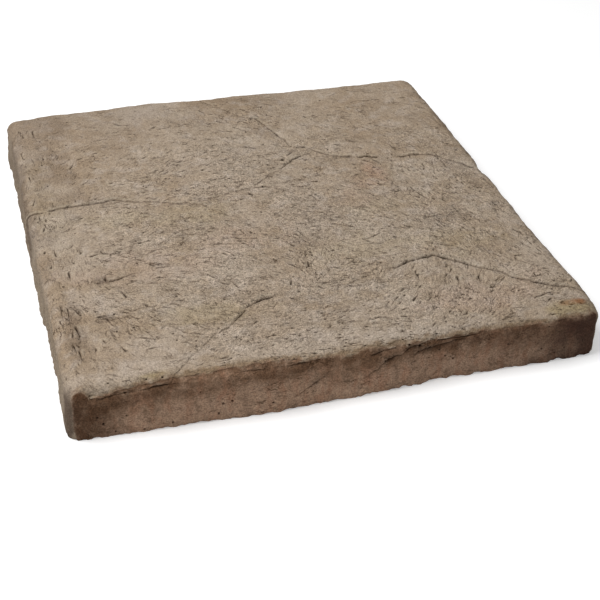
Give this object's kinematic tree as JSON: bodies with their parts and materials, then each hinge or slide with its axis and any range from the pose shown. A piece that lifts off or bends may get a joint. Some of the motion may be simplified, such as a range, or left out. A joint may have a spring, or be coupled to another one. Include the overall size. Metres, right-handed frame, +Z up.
{
  "type": "manufactured stone veneer hearth slab",
  "caption": "Square slab of cast stone with a riven slate face, open seams between its layers, rolled edges and a flat bed for mortar.",
  "frame": {"origin": "centre of the flat bed, which is the slab's lowest face", "axes": "+Z up through the riven face, +X along the front edge to the right, +Y from the front edge to the back edge"},
  "size_m": [0.511, 0.5155, 0.0563],
  "materials": {
    "cast_stone": "matt, riven, integrally coloured tan cast stone"
  },
  "bodies": {
    "root": {"hearth_slab": "cast_stone"}
  },
  "joints": []
}
